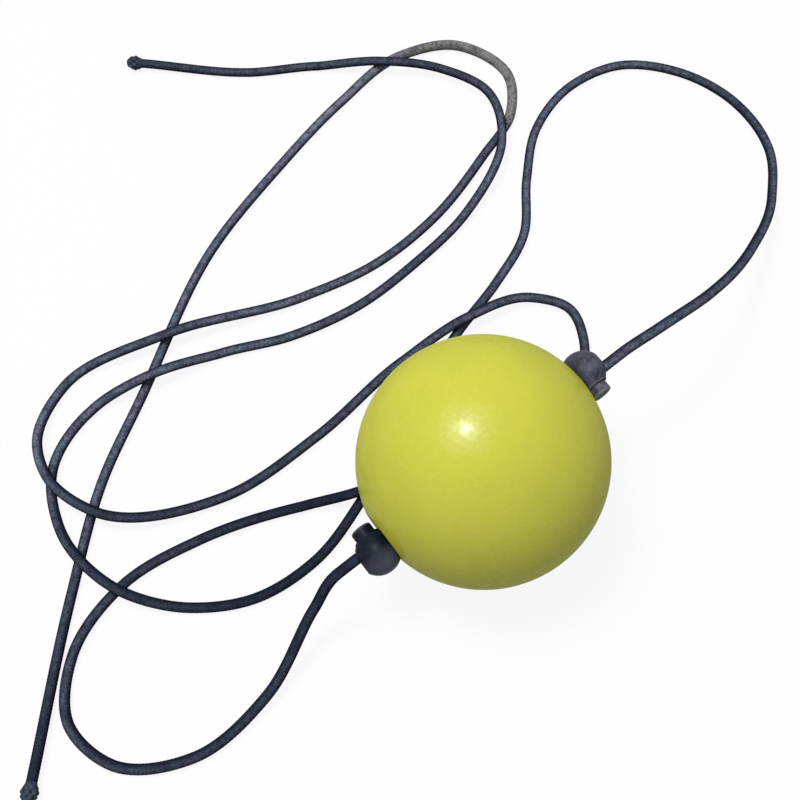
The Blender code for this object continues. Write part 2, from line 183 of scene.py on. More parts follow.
class KnotSettings(PropertyGroup):
    diameter: length("Diameter", "Over the knot's strands", 5 * MM)
    extent: length("Length", "Along the cord", 5.6 * MM)
    flare: length("Flare", "From the cord to the knot's widest place", 2.5 * MM)
    relief: length("Relief", "How deep the knot sinks between its strands", 1.5 * MM)
    pairs: IntProperty(name="Pairs", description="Pairs of strands that wind each way", default=3)
    winding: angle("Winding", "How far a strand winds round the knot", 130)
    wear: share("Wear", "How grey the knot has gone", 0.22)


class LockSettings(PropertyGroup):
    sink: length("Sink", "How deep the bulb beds into the ball", 3.2 * MM)
    hole: length("Hole", "Across the hole that the cord goes through", 3.8 * MM)
    collar: length("Collar", "Across the collar", 7.4 * MM)
    collar_height: length("Collar height", "How far the collar stands out of the bulb", 0.35 * MM)
    cavity: length("Cavity", "Across the cavity that the button slides in", 6.4 * MM)
    mouth: length("Mouth", "From the cord's centre up to the collar's edge", 2.9 * MM)
    cavity_floor: length("Cavity floor", "From the cord's centre down to the spring's seat", 6.45 * MM)
    base: length("Base", "From the cord's centre down to the bulb's foot", 7.8 * MM)
    base_trim: length("Foot", "How much the bulb's foot is cut flat", 0.2 * MM)
    flat: length("Flat", "How much the bulb's sides are cut flat", 0.8 * MM)
    button: length("Button", "Across the button", 5.8 * MM)
    button_top: length("Button top", "From the cord's centre up to the button's end", 5.9 * MM)
    button_bottom: length("Button bottom", "From the cord's centre down to the button's foot", 2.85 * MM)
    slot: length("Slot", "Across the slot in the button", 3.7 * MM)
    travel: length("Travel", "How far the button presses in", 1.5 * MM)
    plastic: colour("Plastic", "The locks' blue-black plastic", (0.003, 0.008, 0.017))
    scuffed: colour("Scuffed plastic", "The plastic where it is rubbed to slate", (0.135, 0.138, 0.190))
    bare: colour("Bare edge", "The edges that hands have worn pale", (0.20, 0.22, 0.23))
    upper_rubbed: share("Upper rubbing", "How much of the upper lock is rubbed", 0.95)
    lower_rubbed: share("Lower rubbing", "How much of the lower lock is rubbed", 0.05)
    gloss: share("Gloss", "Weight of the plastic's gloss", 0.05)
    gloss_roughness: share("Gloss roughness", "How soft the gloss is", 0.32)
    gloss_index: level("Gloss index", "Index of refraction of the gloss", 2.2)


class StageSettings(PropertyGroup):
    lens: FloatProperty(name="Lens", description="Focal length", default=53.1, subtype="DISTANCE_CAMERA")
    viewpoint: FloatVectorProperty(
        name="Viewpoint", description="Where the camera stands", default=(-0.0214, -0.1150, 0.3170),
        subtype="TRANSLATION", unit="LENGTH",
    )
    tilt: angle("Tilt", "The camera's turn up from straight down", 25)
    bulb_power: level("Bulb", "Power of the lamp's bulb", 2.3, "POWER")
    dish_power: level("Dish", "Power of the dish round the bulb", 2.1, "POWER")
    shade_power: level("Shade", "Power of the lamp's shade", 2.8, "POWER")
    sky: level("Sky", "Strength of the even light all round", 0.33)
    floor: colour("Floor", "The share of the light that casts shadows on the floor", (0.11, 0.11, 0.09))
    floor_fill: level("Floor fill", "Strength of the floor's light from below", 0.13)
    floor_size: length("Floor size", "Across the floor", 6)
    floor_gap: length("Floor gap", "Between the floor and what rests on it", 0.05 * MM)
    bulb_size: length("Bulb size", "Across the lamp's bulb", 0.16)
    dish_size: length("Dish size", "Across the dish round the bulb", 0.46)
    shade_size: length("Shade size", "Across the lamp's shade", 0.86)
    lamp_way: FloatVectorProperty(
        name="Lamp direction", description="From the ball to the lamp", default=(-0.30, 0.12, 0.946),
        subtype="DIRECTION",
    )


class ReflexBallSettings(PropertyGroup):
    ball: PointerProperty(type=BallSettings)
    cord: PointerProperty(type=CordSettings)
    knot: PointerProperty(type=KnotSettings)
    lock: PointerProperty(type=LockSettings)
    stage: PointerProperty(type=StageSettings)


class Wire:
    """An output socket of a material. Arithmetic on it adds Math nodes, and node() adds any other."""

    def __init__(self, socket):
        self.socket = socket

    def node(self, kind, settings=None, inputs=None, output=0):
        """Add a node: its settings first, then the values or links of its sockets."""
        tree = self.socket.id_data
        made = tree.nodes.new(kind)
        for name, value in (settings or {}).items():
            setattr(made, name, value)
        for name, value in (inputs or {}).items():
            if isinstance(value, Wire):
                tree.links.new(value.socket, made.inputs[name])
            else:
                made.inputs[name].default_value = value
        return Wire(made.outputs[output])

    def math(self, operation, *values):
        return self.node("ShaderNodeMath", {"operation": operation}, dict(enumerate(values)))

    def __add__(self, other):
        return self.math("ADD", self, other)

    __radd__ = __add__

    def __mul__(self, other):
        return self.math("MULTIPLY", self, other)

    __rmul__ = __mul__

    def __sub__(self, other):
        return self.math("SUBTRACT", self, other)

    def __rsub__(self, other):
        return self.math("SUBTRACT", other, self)

    def attribute(self, name):
        """A level from 0 to 1 that the piece's mesh carries."""
        return self.node("ShaderNodeAttribute", {"attribute_name": name}, None, "Fac")

    def noise(self, scale, detail):
        """Noise at so many lumps per metre, from 0 to 1."""
        return self.node("ShaderNodeTexNoise", None, {"Vector": self, "Scale": scale, "Detail": detail})

    def ramp(self, low, high):
        """0 below low, 1 above high, and smooth between them."""
        return self.node(
            "ShaderNodeMapRange", {"interpolation_type": "SMOOTHSTEP"},
            {"Value": self, "From Min": low, "From Max": high},
        )

    def blend(self, first, second):
        """From the first colour to the second, as this goes from 0 to 1."""
        tints = [tint if isinstance(tint, Wire) else (*tint, 1) for tint in (first, second)]
        return self.node(
            "ShaderNodeMix", {"data_type": "RGBA"}, {"Factor": self, 6: tints[0], 7: tints[1]}, output=2
        )

    def bump(self, strength, depth):
        """The normal over this height, which is from 0 to 1 of the depth."""
        return self.node("ShaderNodeBump", None, {"Height": self, "Strength": strength, "Distance": depth})


def new_finish(name):
    """A new material, its shader, and the wire of its Object coordinates."""
    made = bpy.data.materials.new(name)
    made.use_nodes = True
    shader = made.node_tree.nodes["Principled BSDF"]
    place = made.node_tree.nodes.new("ShaderNodeTexCoord").outputs["Object"]
    return made, shader, Wire(place)


def feed(shader, **sockets):
    """Set or link the shader's sockets, named with _ for a space."""
    for name, value in sockets.items():
        socket = shader.inputs[name.replace("_", " ")]
        if isinstance(value, Wire):
            shader.id_data.links.new(value.socket, socket)
        else:
            socket.default_value = value


# In the finishes a noise's scale is in lumps per metre. Limits and weights are shares of what goes from 0 to 1.


def foam_finish(settings):
    """Satin foam skin: faint clouds, fine orange peel and a grain that catches the gloss, with a painted
    highlight on the crests.
    """
    made, shader, place = new_finish("foam_skin")
    clouds = place.noise(scale=70, detail=3)
    peel = place.noise(scale=1100, detail=2)
    grain = place.noise(scale=4200, detail=1)
    mottle = (peel * 0.5 + grain * 0.5).ramp(0.35, 0.68)
    # Painted highlight: the skin is painted a little lighter on the crests of its peel and grain.
    crest_highlight = tuple(min(1, part * 1.05) for part in settings.skin)
    skin = clouds.ramp(0.35, 0.75).blend(settings.skin, settings.shade)
    feed(
        shader,
        Base_Color=(mottle * 0.4).blend(skin, crest_highlight),
        Roughness=0.45 + clouds * 0.1,
        Normal=(peel * 0.7 + grain * 0.3).bump(strength=0.22, depth=0.25 * MM),
        Specular_IOR_Level=0.0,
        Coat_Weight=settings.gloss + mottle * settings.gloss_mottle,
        Coat_Roughness=settings.gloss_roughness,
        Coat_IOR=settings.gloss_index,
    )
    return made


def braid_height(place):
    """A diamond braid on the tube's own map, where u counts lays along the cord and v strands round it."""
    strand_map = place.node("ShaderNodeUVMap", {"uv_map": "braid"})
    along, around = (strand_map.node("ShaderNodeSeparateXYZ", None, {0: strand_map}, axis) for axis in "XY")
    one_way, other_way = along + around, along - around
    crown, counter = (way.math("ABSOLUTE", way.math("SINE", way * math.pi)) for way in (one_way, other_way))
    cell = one_way.math("FLOOR", one_way) + other_way.math("FLOOR", other_way)
    over = cell.math("PINGPONG", cell, 1.0)
    return crown * over + counter * (1 - over)


def braid_finish(settings):
    """Dark braided yarn that is faded, mauve or bleached by the level its mesh carries, which also holds
    painted light.
    """
    made, shader, place = new_finish("cord_braid")
    height = braid_height(place)
    fibres = place.noise(scale=5200, detail=2)
    tufts = place.noise(scale=1500, detail=2)
    rubbing = place.noise(scale=160, detail=3)
    # Painted sheen and shade: the braid's crowns are painted lighter and its valleys darker, mixed with the
    # yarn's own tufts and fibres.
    lit = height.ramp(0.2, 1.0) * 0.5 + tufts.ramp(0.3, 0.7) * 0.3 + fibres * 0.3
    yarn = lit.blend(settings.yarn, settings.crown)

    # This level holds the real fading and bleaching, and the painted light on the cord's upper side and on its
    # back stretches.
    wear = place.attribute("wear")
    blotches = place.noise(scale=420, detail=3).ramp(0.30, 0.62) * 0.5 + 0.5
    specks = tufts.ramp(0.36, 0.62) * 0.7 + fibres * 0.4 + height * 0.25
    faded = place.noise(scale=110, detail=2).ramp(0.42, 0.58).blend(settings.faded, settings.mauve)
    bleached = place.noise(scale=600, detail=3).ramp(0.38, 0.62).blend(settings.ash, settings.tan)
    worn = wear.ramp(*BLEACHED_TINT).blend(faded, bleached)
    feed(
        shader,
        Base_Color=(blotches * wear * (0.25 + specks)).blend(yarn, worn),
        Roughness=0.74 + rubbing * 0.16,
        Normal=(height * 0.8 + fibres * 0.2).bump(strength=0.6, depth=0.10 * MM),
        Specular_IOR_Level=0.0,
    )
    return made


def plastic_finish(name, settings, rubbed):
    """Moulded plastic with a fine spark-eroded grain, rubbed to slate in patches and worn pale on its edges,
    lighter towards the bulb's foot, with painted shade on the bulb's side towards the ball.
    """
    made, shader, place = new_finish(name)
    grain = place.noise(scale=3800, detail=2)
    patches = place.noise(scale=260, detail=4)
    streaks = place.noise(scale=900, detail=3)
    foot, rim, sheltered = (place.attribute(part) for part in ("foot", "rim", "sheltered"))
    handling = patches.ramp(0.40, 0.60) * 0.55 + streaks.ramp(0.35, 0.65) * 0.35 + 0.3
    # Painted shade: the rubbing is held back on the bulb's side towards the ball, which darkens that side.
    rubs_and_painted_shade = handling * rubbed * (1 - sheltered * 0.75)
    # The bulb is made lighter towards its foot, in patches.
    foot_lightening = foot * (0.5 + patches * 0.7) * (1 - 0.6 * rubbed)
    scuffing_and_painted_shade = rubs_and_painted_shade + foot_lightening + streaks.ramp(0.50, 0.75) * 0.06 + rim * 0.3
    pale = rim * streaks.ramp(0.25, 0.55) * (0.1 + 0.8 * rubbed)
    feed(
        shader,
        Base_Color=pale.blend(scuffing_and_painted_shade.blend(settings.plastic, settings.scuffed), settings.bare),
        Roughness=0.45 + patches * 0.16 + grain * 0.06,
        Normal=grain.bump(strength=0.25, depth=0.06 * MM),
        Specular_IOR_Level=0.02,
        Coat_Weight=settings.gloss,
        Coat_Roughness=settings.gloss_roughness,
        Coat_IOR=settings.gloss_index,
    )
    return made


def steel_finish():
    """Drawn spring wire."""
    made, shader, place = new_finish("spring_wire")
    lines = place.noise(scale=6000, detail=2)
    bright, dull = (0.62, 0.62, 0.64), (0.48, 0.47, 0.46)
    feed(
        shader,
        Base_Color=place.noise(scale=500, detail=3).ramp(0.4, 0.7).blend(bright, dull),
        Roughness=0.24 + lines * 0.18,
        Metallic=1.0,
        Normal=lines.bump(strength=0.2, depth=0.02 * MM),
    )
    return made


def arc(centre, radius, start, end, step=math.radians(4)):
    """Points of an arc in (radius, height) pairs, with angles counted from +Z towards +X."""
    count = max(2, math.ceil(abs(end - start) / step))
    angles = [start + (end - start) * i / count for i in range(count + 1)]
    return [(centre[0] + radius * math.sin(a), centre[1] + radius * math.cos(a)) for a in angles]


def bearing(start, end):
    """The direction from one profile point to another, counted as in arc."""
    return math.atan2(end[0] - start[0], end[1] - start[1])


def turn(name, profile, steps):
    """Draw half a section point by point in edit mode, then spin it round Z."""
    bpy.ops.object.select_all(action="DESELECT")
    bpy.ops.mesh.primitive_plane_add(size=MM)
    piece = bpy.context.object
    piece.name = piece.data.name = name
    bpy.ops.object.mode_set(mode="EDIT")
    bpy.ops.mesh.merge(type="CENTER")
    bpy.ops.transform.translate(value=(profile[0][0], 0, profile[0][1]))
    for here, there in zip(profile, profile[1:]):
        step = (there[0] - here[0], 0, there[1] - here[1])
        bpy.ops.mesh.extrude_vertices_move(TRANSFORM_OT_translate={"value": step})
    bpy.ops.mesh.select_all(action="SELECT")
    bpy.ops.mesh.spin(steps=steps, angle=2 * math.pi, center=(0, 0, 0), axis=(0, 0, 1))
    close_seams()
    bpy.ops.object.mode_set(mode="OBJECT")
    return piece


def close_seams():
    """In edit mode: merge what meets and turn all faces outwards."""
    bpy.ops.mesh.select_all(action="SELECT")
    bpy.ops.mesh.remove_doubles(threshold=NEAR / 10)
    bpy.ops.mesh.normals_make_consistent(inside=False)


def choose(piece, wanted, kind="VERT"):
    """In edit mode: select only the vertices or edges whose corners are all wanted."""
    bpy.ops.mesh.select_mode(type=kind)
    bpy.ops.mesh.select_all(action="DESELECT")
    bpy.ops.object.mode_set(mode="OBJECT")
    mesh = piece.data
    hits = [wanted(corner.co) for corner in mesh.vertices]
    if not any(hits):
        raise RuntimeError("there is nothing to choose on " + piece.name)
    if kind == "VERT":
        for corner, hit in zip(mesh.vertices, hits):
            corner.select = hit
    else:
        for edge in mesh.edges:
            edge.select = all(hits[i] for i in edge.vertices)
    bpy.ops.object.mode_set(mode="EDIT")


def cut_away(piece, cutter):
    """Take the cutter's shape out of the piece, and the cutter out of the scene."""
    before = len(piece.data.vertices)
    bpy.ops.object.select_all(action="DESELECT")
    bpy.context.view_layer.objects.active = piece
    piece.select_set(True)
    cut = piece.modifiers.new("Cut", "BOOLEAN")
    cut.operation = "DIFFERENCE"
    cut.solver = "EXACT"
    cut.object = cutter
    bpy.ops.object.modifier_apply(modifier=cut.name)
    bpy.data.objects.remove(cutter, do_unlink=True)
    if len(piece.data.vertices) == before:
        raise RuntimeError("the cut takes nothing out of " + piece.name)


def settle(piece, placing, smooth_below):
    """Put a finished piece in its place, with the place in its mesh, and smooth its shading."""
    bpy.ops.object.select_all(action="DESELECT")
    bpy.context.view_layer.objects.active = piece
    piece.select_set(True)
    piece.matrix_world = placing
    bpy.ops.object.transform_apply(location=True, rotation=True, scale=True)
    bpy.ops.object.shade_smooth_by_angle(angle=smooth_below)


def dress(piece, finish, body, slot, *nodes):
    """Give a piece its material, the body it moves with and the CAD nodes it stands for."""
    piece.data.materials.clear()
    piece.data.materials.append(finish)
    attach(piece, body)
    if nodes:
        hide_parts(*nodes)


def bulb_sizes(lock):
    """The bulb's radius and its centre's height: it carries the collar and has its foot at the base."""
    height = lock.mouth - lock.collar_height + lock.base + lock.base_trim
    radius = (height**2 + (lock.collar / 2) ** 2) / (2 * height)
    return radius, radius - lock.base - lock.base_trim


def lock_reach(settings):
    """From the ball's centre to a lock's middle, along the bore."""
    return settings.ball.diameter / 2 - settings.lock.sink + bulb_sizes(settings.lock)[0]


def exit_reach(settings):
    """From the ball's centre to where the cord leaves a lock."""
    return lock_reach(settings) + bulb_sizes(settings.lock)[0] - settings.lock.flat


def even_steps(line, step):
    """The same line at equal steps, and its length."""
    run = np.concatenate([[0], np.cumsum(np.linalg.norm(np.diff(line, axis=0), axis=1))])
    places = np.linspace(0, run[-1], round(run[-1] / step) + 1)
    return np.column_stack([np.interp(places, run, line[:, axis]) for axis in range(3)]), run[-1]


def smooth_line(points, heading, lowest, step):
    """A smooth curve through the points that sets off along the heading, at equal steps."""
    spans = [b - a for a, b in zip(points, points[1:])]
    slopes = [heading]
    for before, after in zip(spans, spans[1:]):
        weighed = before.normalized() * after.length + after.normalized() * before.length
        slopes.append(weighed / (before.length + after.length))
    slopes.append(spans[-1].normalized())

    fine = [points[0]]
    for i, span in enumerate(spans):
        for k in range(1, STEPS_PER_SPAN + 1):
            s = k / STEPS_PER_SPAN
            bend = slopes[i] * (s - 1) ** 2 * s + slopes[i + 1] * (s - 1) * s**2
            found = points[i] + span * s * s * (3 - 2 * s) + bend * span.length
            found.z = max(found.z, lowest)
            fine.append(found)
    return even_steps(np.array(fine), step)[0]


def ring_axes(line):
    """Two axes across the line at each of its points, carried along without twist."""
    ahead = np.gradient(line, axis=0)
    ahead /= np.linalg.norm(ahead, axis=1)[:, None]
    first = np.cross(ahead[0], (0, 0, 1))
    axes = []
    for heading in ahead:
        first = first - heading * first.dot(heading)
        first /= np.linalg.norm(first)
        axes.append((first, np.cross(heading, first)))
    return np.array(axes)


def wrap(name, corners, lay, strands):
    """A closed skin over rings of corners, with a braid map: lays along it and strands round it."""
    rings, around = corners.shape[:2]
    near = np.arange(around)
    beside = (near + 1) % around
    base = (np.arange(rings - 1) * around)[:, None]
    quads = np.stack([base + near, base + beside, base + around + beside, base + around + near], axis=-1)
    faces = quads.reshape(-1, 4).tolist()
    faces.append(near[::-1].tolist())
    faces.append(((rings - 1) * around + near).tolist())
    mesh = bpy.data.meshes.new(name)
    mesh.from_pydata(corners.reshape(-1, 3).tolist(), [], faces)

    per_corner = strands / around
    lays = np.stack([lay[:-1], lay[:-1], lay[1:], lay[1:]], axis=-1)[:, None, :]
    turns = np.stack([near, near + 1, near + 1, near], axis=-1)[None] * per_corner
    sides = np.stack(np.broadcast_arrays(lays, turns), axis=-1).reshape(-1, 2)
    round_end = np.concatenate([near[::-1], near]) * per_corner
    ends = np.column_stack([np.repeat([lay[0], lay[-1]], around), round_end])
    braid_map = mesh.uv_layers.new(name="braid")
    braid_map.data.foreach_set("uv", np.concatenate([sides, ends]).astype(np.float32).ravel())
    mesh.shade_smooth()
    piece = bpy.data.objects.new(name, mesh)
    bpy.context.scene.collection.objects.link(piece)
    return piece


def mark(piece, name, levels):
    """Give each corner of a piece a level, from 0 to 1, that its material reads."""
    layer = piece.data.attributes.new(name, "FLOAT", "POINT")
    layer.data.foreach_set("value", np.asarray(levels, dtype=np.float32))


def braided_tube(name, line, cord, wear):
    """A cord along the line, whose corners stand on the braid's crossings and crowns.

    It is painted lighter on its upper, forward side as painted light, with painted shade on its flanks, and it
    is swollen and worn all round where it is bleached.
    """
    wear = np.broadcast_to(wear, len(line))
    bleach = np.clip((wear - BLEACHED) / (1 - BLEACHED), 0, 1)
    radius = cord.diameter / 2 * (1 + cord.fluff * bleach)
    line = line + np.outer(radius - cord.diameter / 2, (0, 0, 1))
    around = 2 * cord.strands
    strand = np.arange(around) / 2
    lay = np.arange(len(line)) * np.linalg.norm(line[1] - line[0]) / cord.lay
    one_way, other_way = lay[:, None] + strand, lay[:, None] - strand
    crown = np.sin(np.pi * one_way) ** 2 * np.sin(np.pi * other_way) ** 2
    reach = radius[:, None] - cord.relief * (1 - crown)
    angles = 2 * np.pi * np.arange(around)[:, None] / around
    axes = ring_axes(line)
    spokes = axes[:, 0, None] * np.cos(angles) + axes[:, 1, None] * np.sin(angles)
    piece = wrap(name, line[:, None] + spokes * reach[..., None], lay, cord.strands)
    # Painted light: corners that face up and forward are painted lighter, and the flanks darker, as light from
    # above would make them.
    painted_light_facing = spokes @ PAINTED_LIGHT_WAY
    painted_light_facing = np.clip(painted_light_facing / painted_light_facing.max(axis=1, keepdims=True), 0, 1)
    painted_light_side = np.maximum(painted_light_facing**PAINTED_LIGHT_FALL, bleach[:, None])
    mark(piece, "wear", (painted_light_side * wear[:, None]).ravel())
    return piece


def cord_line(settings, side):
    """A free cord's centre line, from inside the ball out to the knot, and its length."""
    cord = settings.cord
    out = BORE * SIDES[side]
    start = BALL_CENTRE + out * cord.join
    leave = BALL_CENTRE + out * (exit_reach(settings) + cord.straight)
    lift = cord.diameter / 2
    points = [leave] + [Vector((x * MM, y * MM, z * MM + lift)) for x, y, z in ROUTES[side]]
    step = cord.lay / STEPS_PER_LAY
    straight = smooth_line([start, leave], out, lift, step)
    lying = smooth_line(points, out, lift, step)
    return even_steps(np.concatenate([straight[:-1], lying]), step)


def background_rays(start):
    """1 for what the camera sees, straight or in a gloss, and 0 for the light that falls on the object."""
    camera, glossy, clear = (
        start.node("ShaderNodeLightPath", output=ray)
        for ray in ("Is Camera Ray", "Is Glossy Ray", "Is Transmission Ray")
    )
    return camera + glossy + clear


class REFLEXBALL_OT_stage(Operator):
    """Set up the floor, the light and the camera"""

    bl_idname = "reflexball.stage"
    bl_label = "Set the Stage"

    def execute(self, context):
        stage = context.scene.reflex_ball.stage
        self.lay_floor(stage)
        self.light(context, stage)
        self.place_camera(context, stage)
        return {"FINISHED"}

    def lay_floor(self, stage):
        """A pale floor that looks white and keeps the shadows, but lights the object only by its fill."""
        bpy.ops.object.select_all(action="DESELECT")
        bpy.ops.mesh.primitive_plane_add(size=stage.floor_size, location=(0, 0, -stage.floor_gap))
        floor = bpy.context.object
        floor.name = "floor"
        made, shader, place = new_finish("pale_floor")
        rest = tuple(1 - part for part in stage.floor)
        feed(
            shader,
            Base_Color=(*stage.floor, 1),
            Roughness=1.0,
            Specular_IOR_Level=0.0,
            Emission_Color=background_rays(place).blend((stage.floor_fill,) * 3, rest),
            Emission_Strength=1.0,
        )
        floor.data.materials.append(made)

    def light(self, context, stage):
        """A lamp of three nested discs, brightest in the middle, and an even light all round."""
        towards = Vector(stage.lamp_way).normalized()
        for part in ("bulb", "dish", "shade"):
            lamp = bpy.data.lights.new("lamp_" + part, "AREA")
            lamp.shape = "DISK"
            lamp.size = getattr(stage, part + "_size")
            lamp.energy = getattr(stage, part + "_power")
            above = bpy.data.objects.new("lamp_" + part, lamp)
            context.scene.collection.objects.link(above)
            above.location = BALL_CENTRE + towards
            above.rotation_euler = towards.to_track_quat("Z", "Y").to_euler()

        world = bpy.data.worlds.new("even_light")
        context.scene.world = world
        world.use_nodes = True
        tree = world.node_tree
        background = tree.nodes["Background"]
        seen = background_rays(Wire(background.outputs[0]))
        tree.links.new(seen.blend((stage.sky,) * 3, (1, 1, 1)).socket, background.inputs["Color"])
        context.scene.view_settings.view_transform = "Standard"

    def place_camera(self, context, stage):
        """A camera that looks down on the object as the photograph does."""
        camera = bpy.data.cameras.new("camera")
        camera.lens = stage.lens
        camera.sensor_width = 36
        camera.clip_start = 0.01
        stand = bpy.data.objects.new("camera", camera)
        context.scene.collection.objects.link(stand)
        stand.location = stage.viewpoint
        stand.rotation_euler = (stage.tilt, 0, 0)
        context.scene.camera = stand


class REFLEXBALL_OT_cords(Operator):
    """Braid the free cords and the stretch inside the ball"""

    bl_idname = "reflexball.cords"
    bl_label = "Braid the Cords"

    def execute(self, context):
        settings = context.scene.reflex_ball
        cord = settings.cord
        finish = braid_finish(cord)
        for side in SIDES:
            line, extent = cord_line(settings, side)
            # The level along the cord: real fading and bleaching, and painted light.
            places, levels = zip(*WEAR_AND_PAINTED_LIGHT[side])
            wear = np.interp(np.linspace(extent, 0, len(line)), places, levels)
            piece = braided_tube(side + "_cord", line, cord, wear)
            dress(piece, finish, "cord", "cord_braid", "cord_" + side)
        ends = np.array([BALL_CENTRE + BORE * cord.join * way for way in (-1, 1)])
        line, extent = even_steps(ends, cord.lay / STEPS_PER_LAY)
        inner = braided_tube("inner_cord", line, cord, 0)
        dress(inner, finish, "cord", "cord_braid", "cord_through")
        return {"FINISHED"}


class REFLEXBALL_OT_knots(Operator):
    """Tie the stopper knot at each end of the cord"""

    bl_idname = "reflexball.knots"
    bl_label = "Tie the Knots"

    def execute(self, context):
        settings = context.scene.reflex_ball
        for side in SIDES:
            cord = bpy.data.objects[side + "_cord"]
            line, extent = cord_line(settings, side)
            knot = self.tie(settings, side + "_knot", line)
            dress(knot, cord.data.materials[0], "cord", "cord_braid", "knot_" + side)
            BALL_CENTRE + BORE * SIDES[side] * exit_reach(settings)
        return {"FINISHED"}

    def tie(self, settings, name, line):
        """A tight knot: a flaring head, sunk between strands that wind both ways."""
        cord, knot = settings.cord, settings.knot
        crowding = 1.6  # brings the rings closer towards the knot's end
        tip = 0.004  # the share of its section that is left at the end
        heading = line[-1] - line[-2]
        heading[2] = 0
        heading /= np.linalg.norm(heading)
        along = knot.extent * (1 - (1 - np.linspace(0, 1, KNOT_RINGS)) ** crowding)
        neck = np.clip(along / knot.flare, 0, 1)
        head = np.clip((along - knot.flare) / (knot.extent - knot.flare), 0, 1)
        thin, wide = cord.diameter / 2, knot.diameter / 2
        flared = thin + (wide - thin) * neck**2 * (3 - 2 * neck)
        radius = flared * np.sqrt(np.maximum(tip, 1 - head**2))

        angles = 2 * np.pi * np.arange(KNOT_SIDES) / KNOT_SIDES
        winding = knot.winding * along[:, None] / knot.extent
        one_way, other_way = (np.abs(np.cos(knot.pairs * (angles + way * winding))) for way in (1, -1))
        # The strand on top counts most, which rounds the places where two cross.
        strands = np.maximum(one_way, other_way) * 0.4 + (one_way + other_way) * 0.3
        sunk = knot.relief * (1 - strands) * (neck * radius / wide)[:, None]
        up = np.array((0, 0, 1.0))
        across = np.cross(heading, up)
        spokes = up * np.cos(angles)[:, None] + across * np.sin(angles)[:, None]
        centres = line[-1] + heading * along[:, None, None]
        corners = centres + spokes * (radius[:, None] - sunk)[..., None]
        piece = wrap(name, corners, along / cord.lay, 2 * cord.strands)
        mark(piece, "wear", np.full(KNOT_RINGS * KNOT_SIDES, knot.wear))
        return piece


class REFLEXBALL_OT_ball(Operator):
    """Turn the foam ball, with its bore, its dishes and the flat it rests on"""

    bl_idname = "reflexball.ball"
    bl_label = "Turn the Ball"

    def execute(self, context):
        settings = context.scene.reflex_ball
        piece = turn("foam_ball", self.section(settings), BALL_STEPS)
        turned = BORE.to_track_quat("Z", "Y").to_matrix().to_4x4()
        settle(piece, Matrix.Translation(BALL_CENTRE) @ turned, BALL_SMOOTH)
        bpy.ops.object.mode_set(mode="EDIT")
        choose(piece, lambda corner: corner.z < 0)
        bpy.ops.transform.resize(value=(1, 1, 0), center_override=(0, 0, 0))
        bpy.ops.object.mode_set(mode="OBJECT")
        dress(piece, foam_finish(settings.ball), "ball", "ball_foam", "ball")
        return {"FINISHED"}

    def section(self, settings):
        """Half the ball's section, with a dish at each mouth of the bore that the bulb beds in."""
        ball = settings.ball
        bulb, centre = bulb_sizes(settings.lock)
        whole, rim = ball.diameter / 2, ball.rim_round
        dish = bulb + ball.seat_gap
        dish_centre = (abs(centre), lock_reach(settings))
        # The rim's rounding touches the ball from inside and the dish from outside.
        inside, outside = whole - rim, dish + rim
        apart = math.hypot(*dish_centre)
        between = math.acos((inside**2 + apart**2 - outside**2) / (2 * inside * apart))
        at_rim = bearing((0, 0), dish_centre) + between
        rim_centre = (inside * math.sin(at_rim), inside * math.cos(at_rim))
        to_rim = bearing(dish_centre, rim_centre)
        bore = ball.bore / 2
        upper = arc(dish_centre, dish, math.pi, to_rim)
        upper += arc(rim_centre, rim, to_rim - math.pi, at_rim, step=math.radians(12))[1:]
        upper.insert(0, (bore, upper[0][1]))
        lower = [(radius, -height) for radius, height in reversed(upper)]
        skin = arc((0, 0), whole, at_rim, math.pi - at_rim, step=math.radians(2.5))
        return upper + skin[1:-1] + lower + upper[:1]


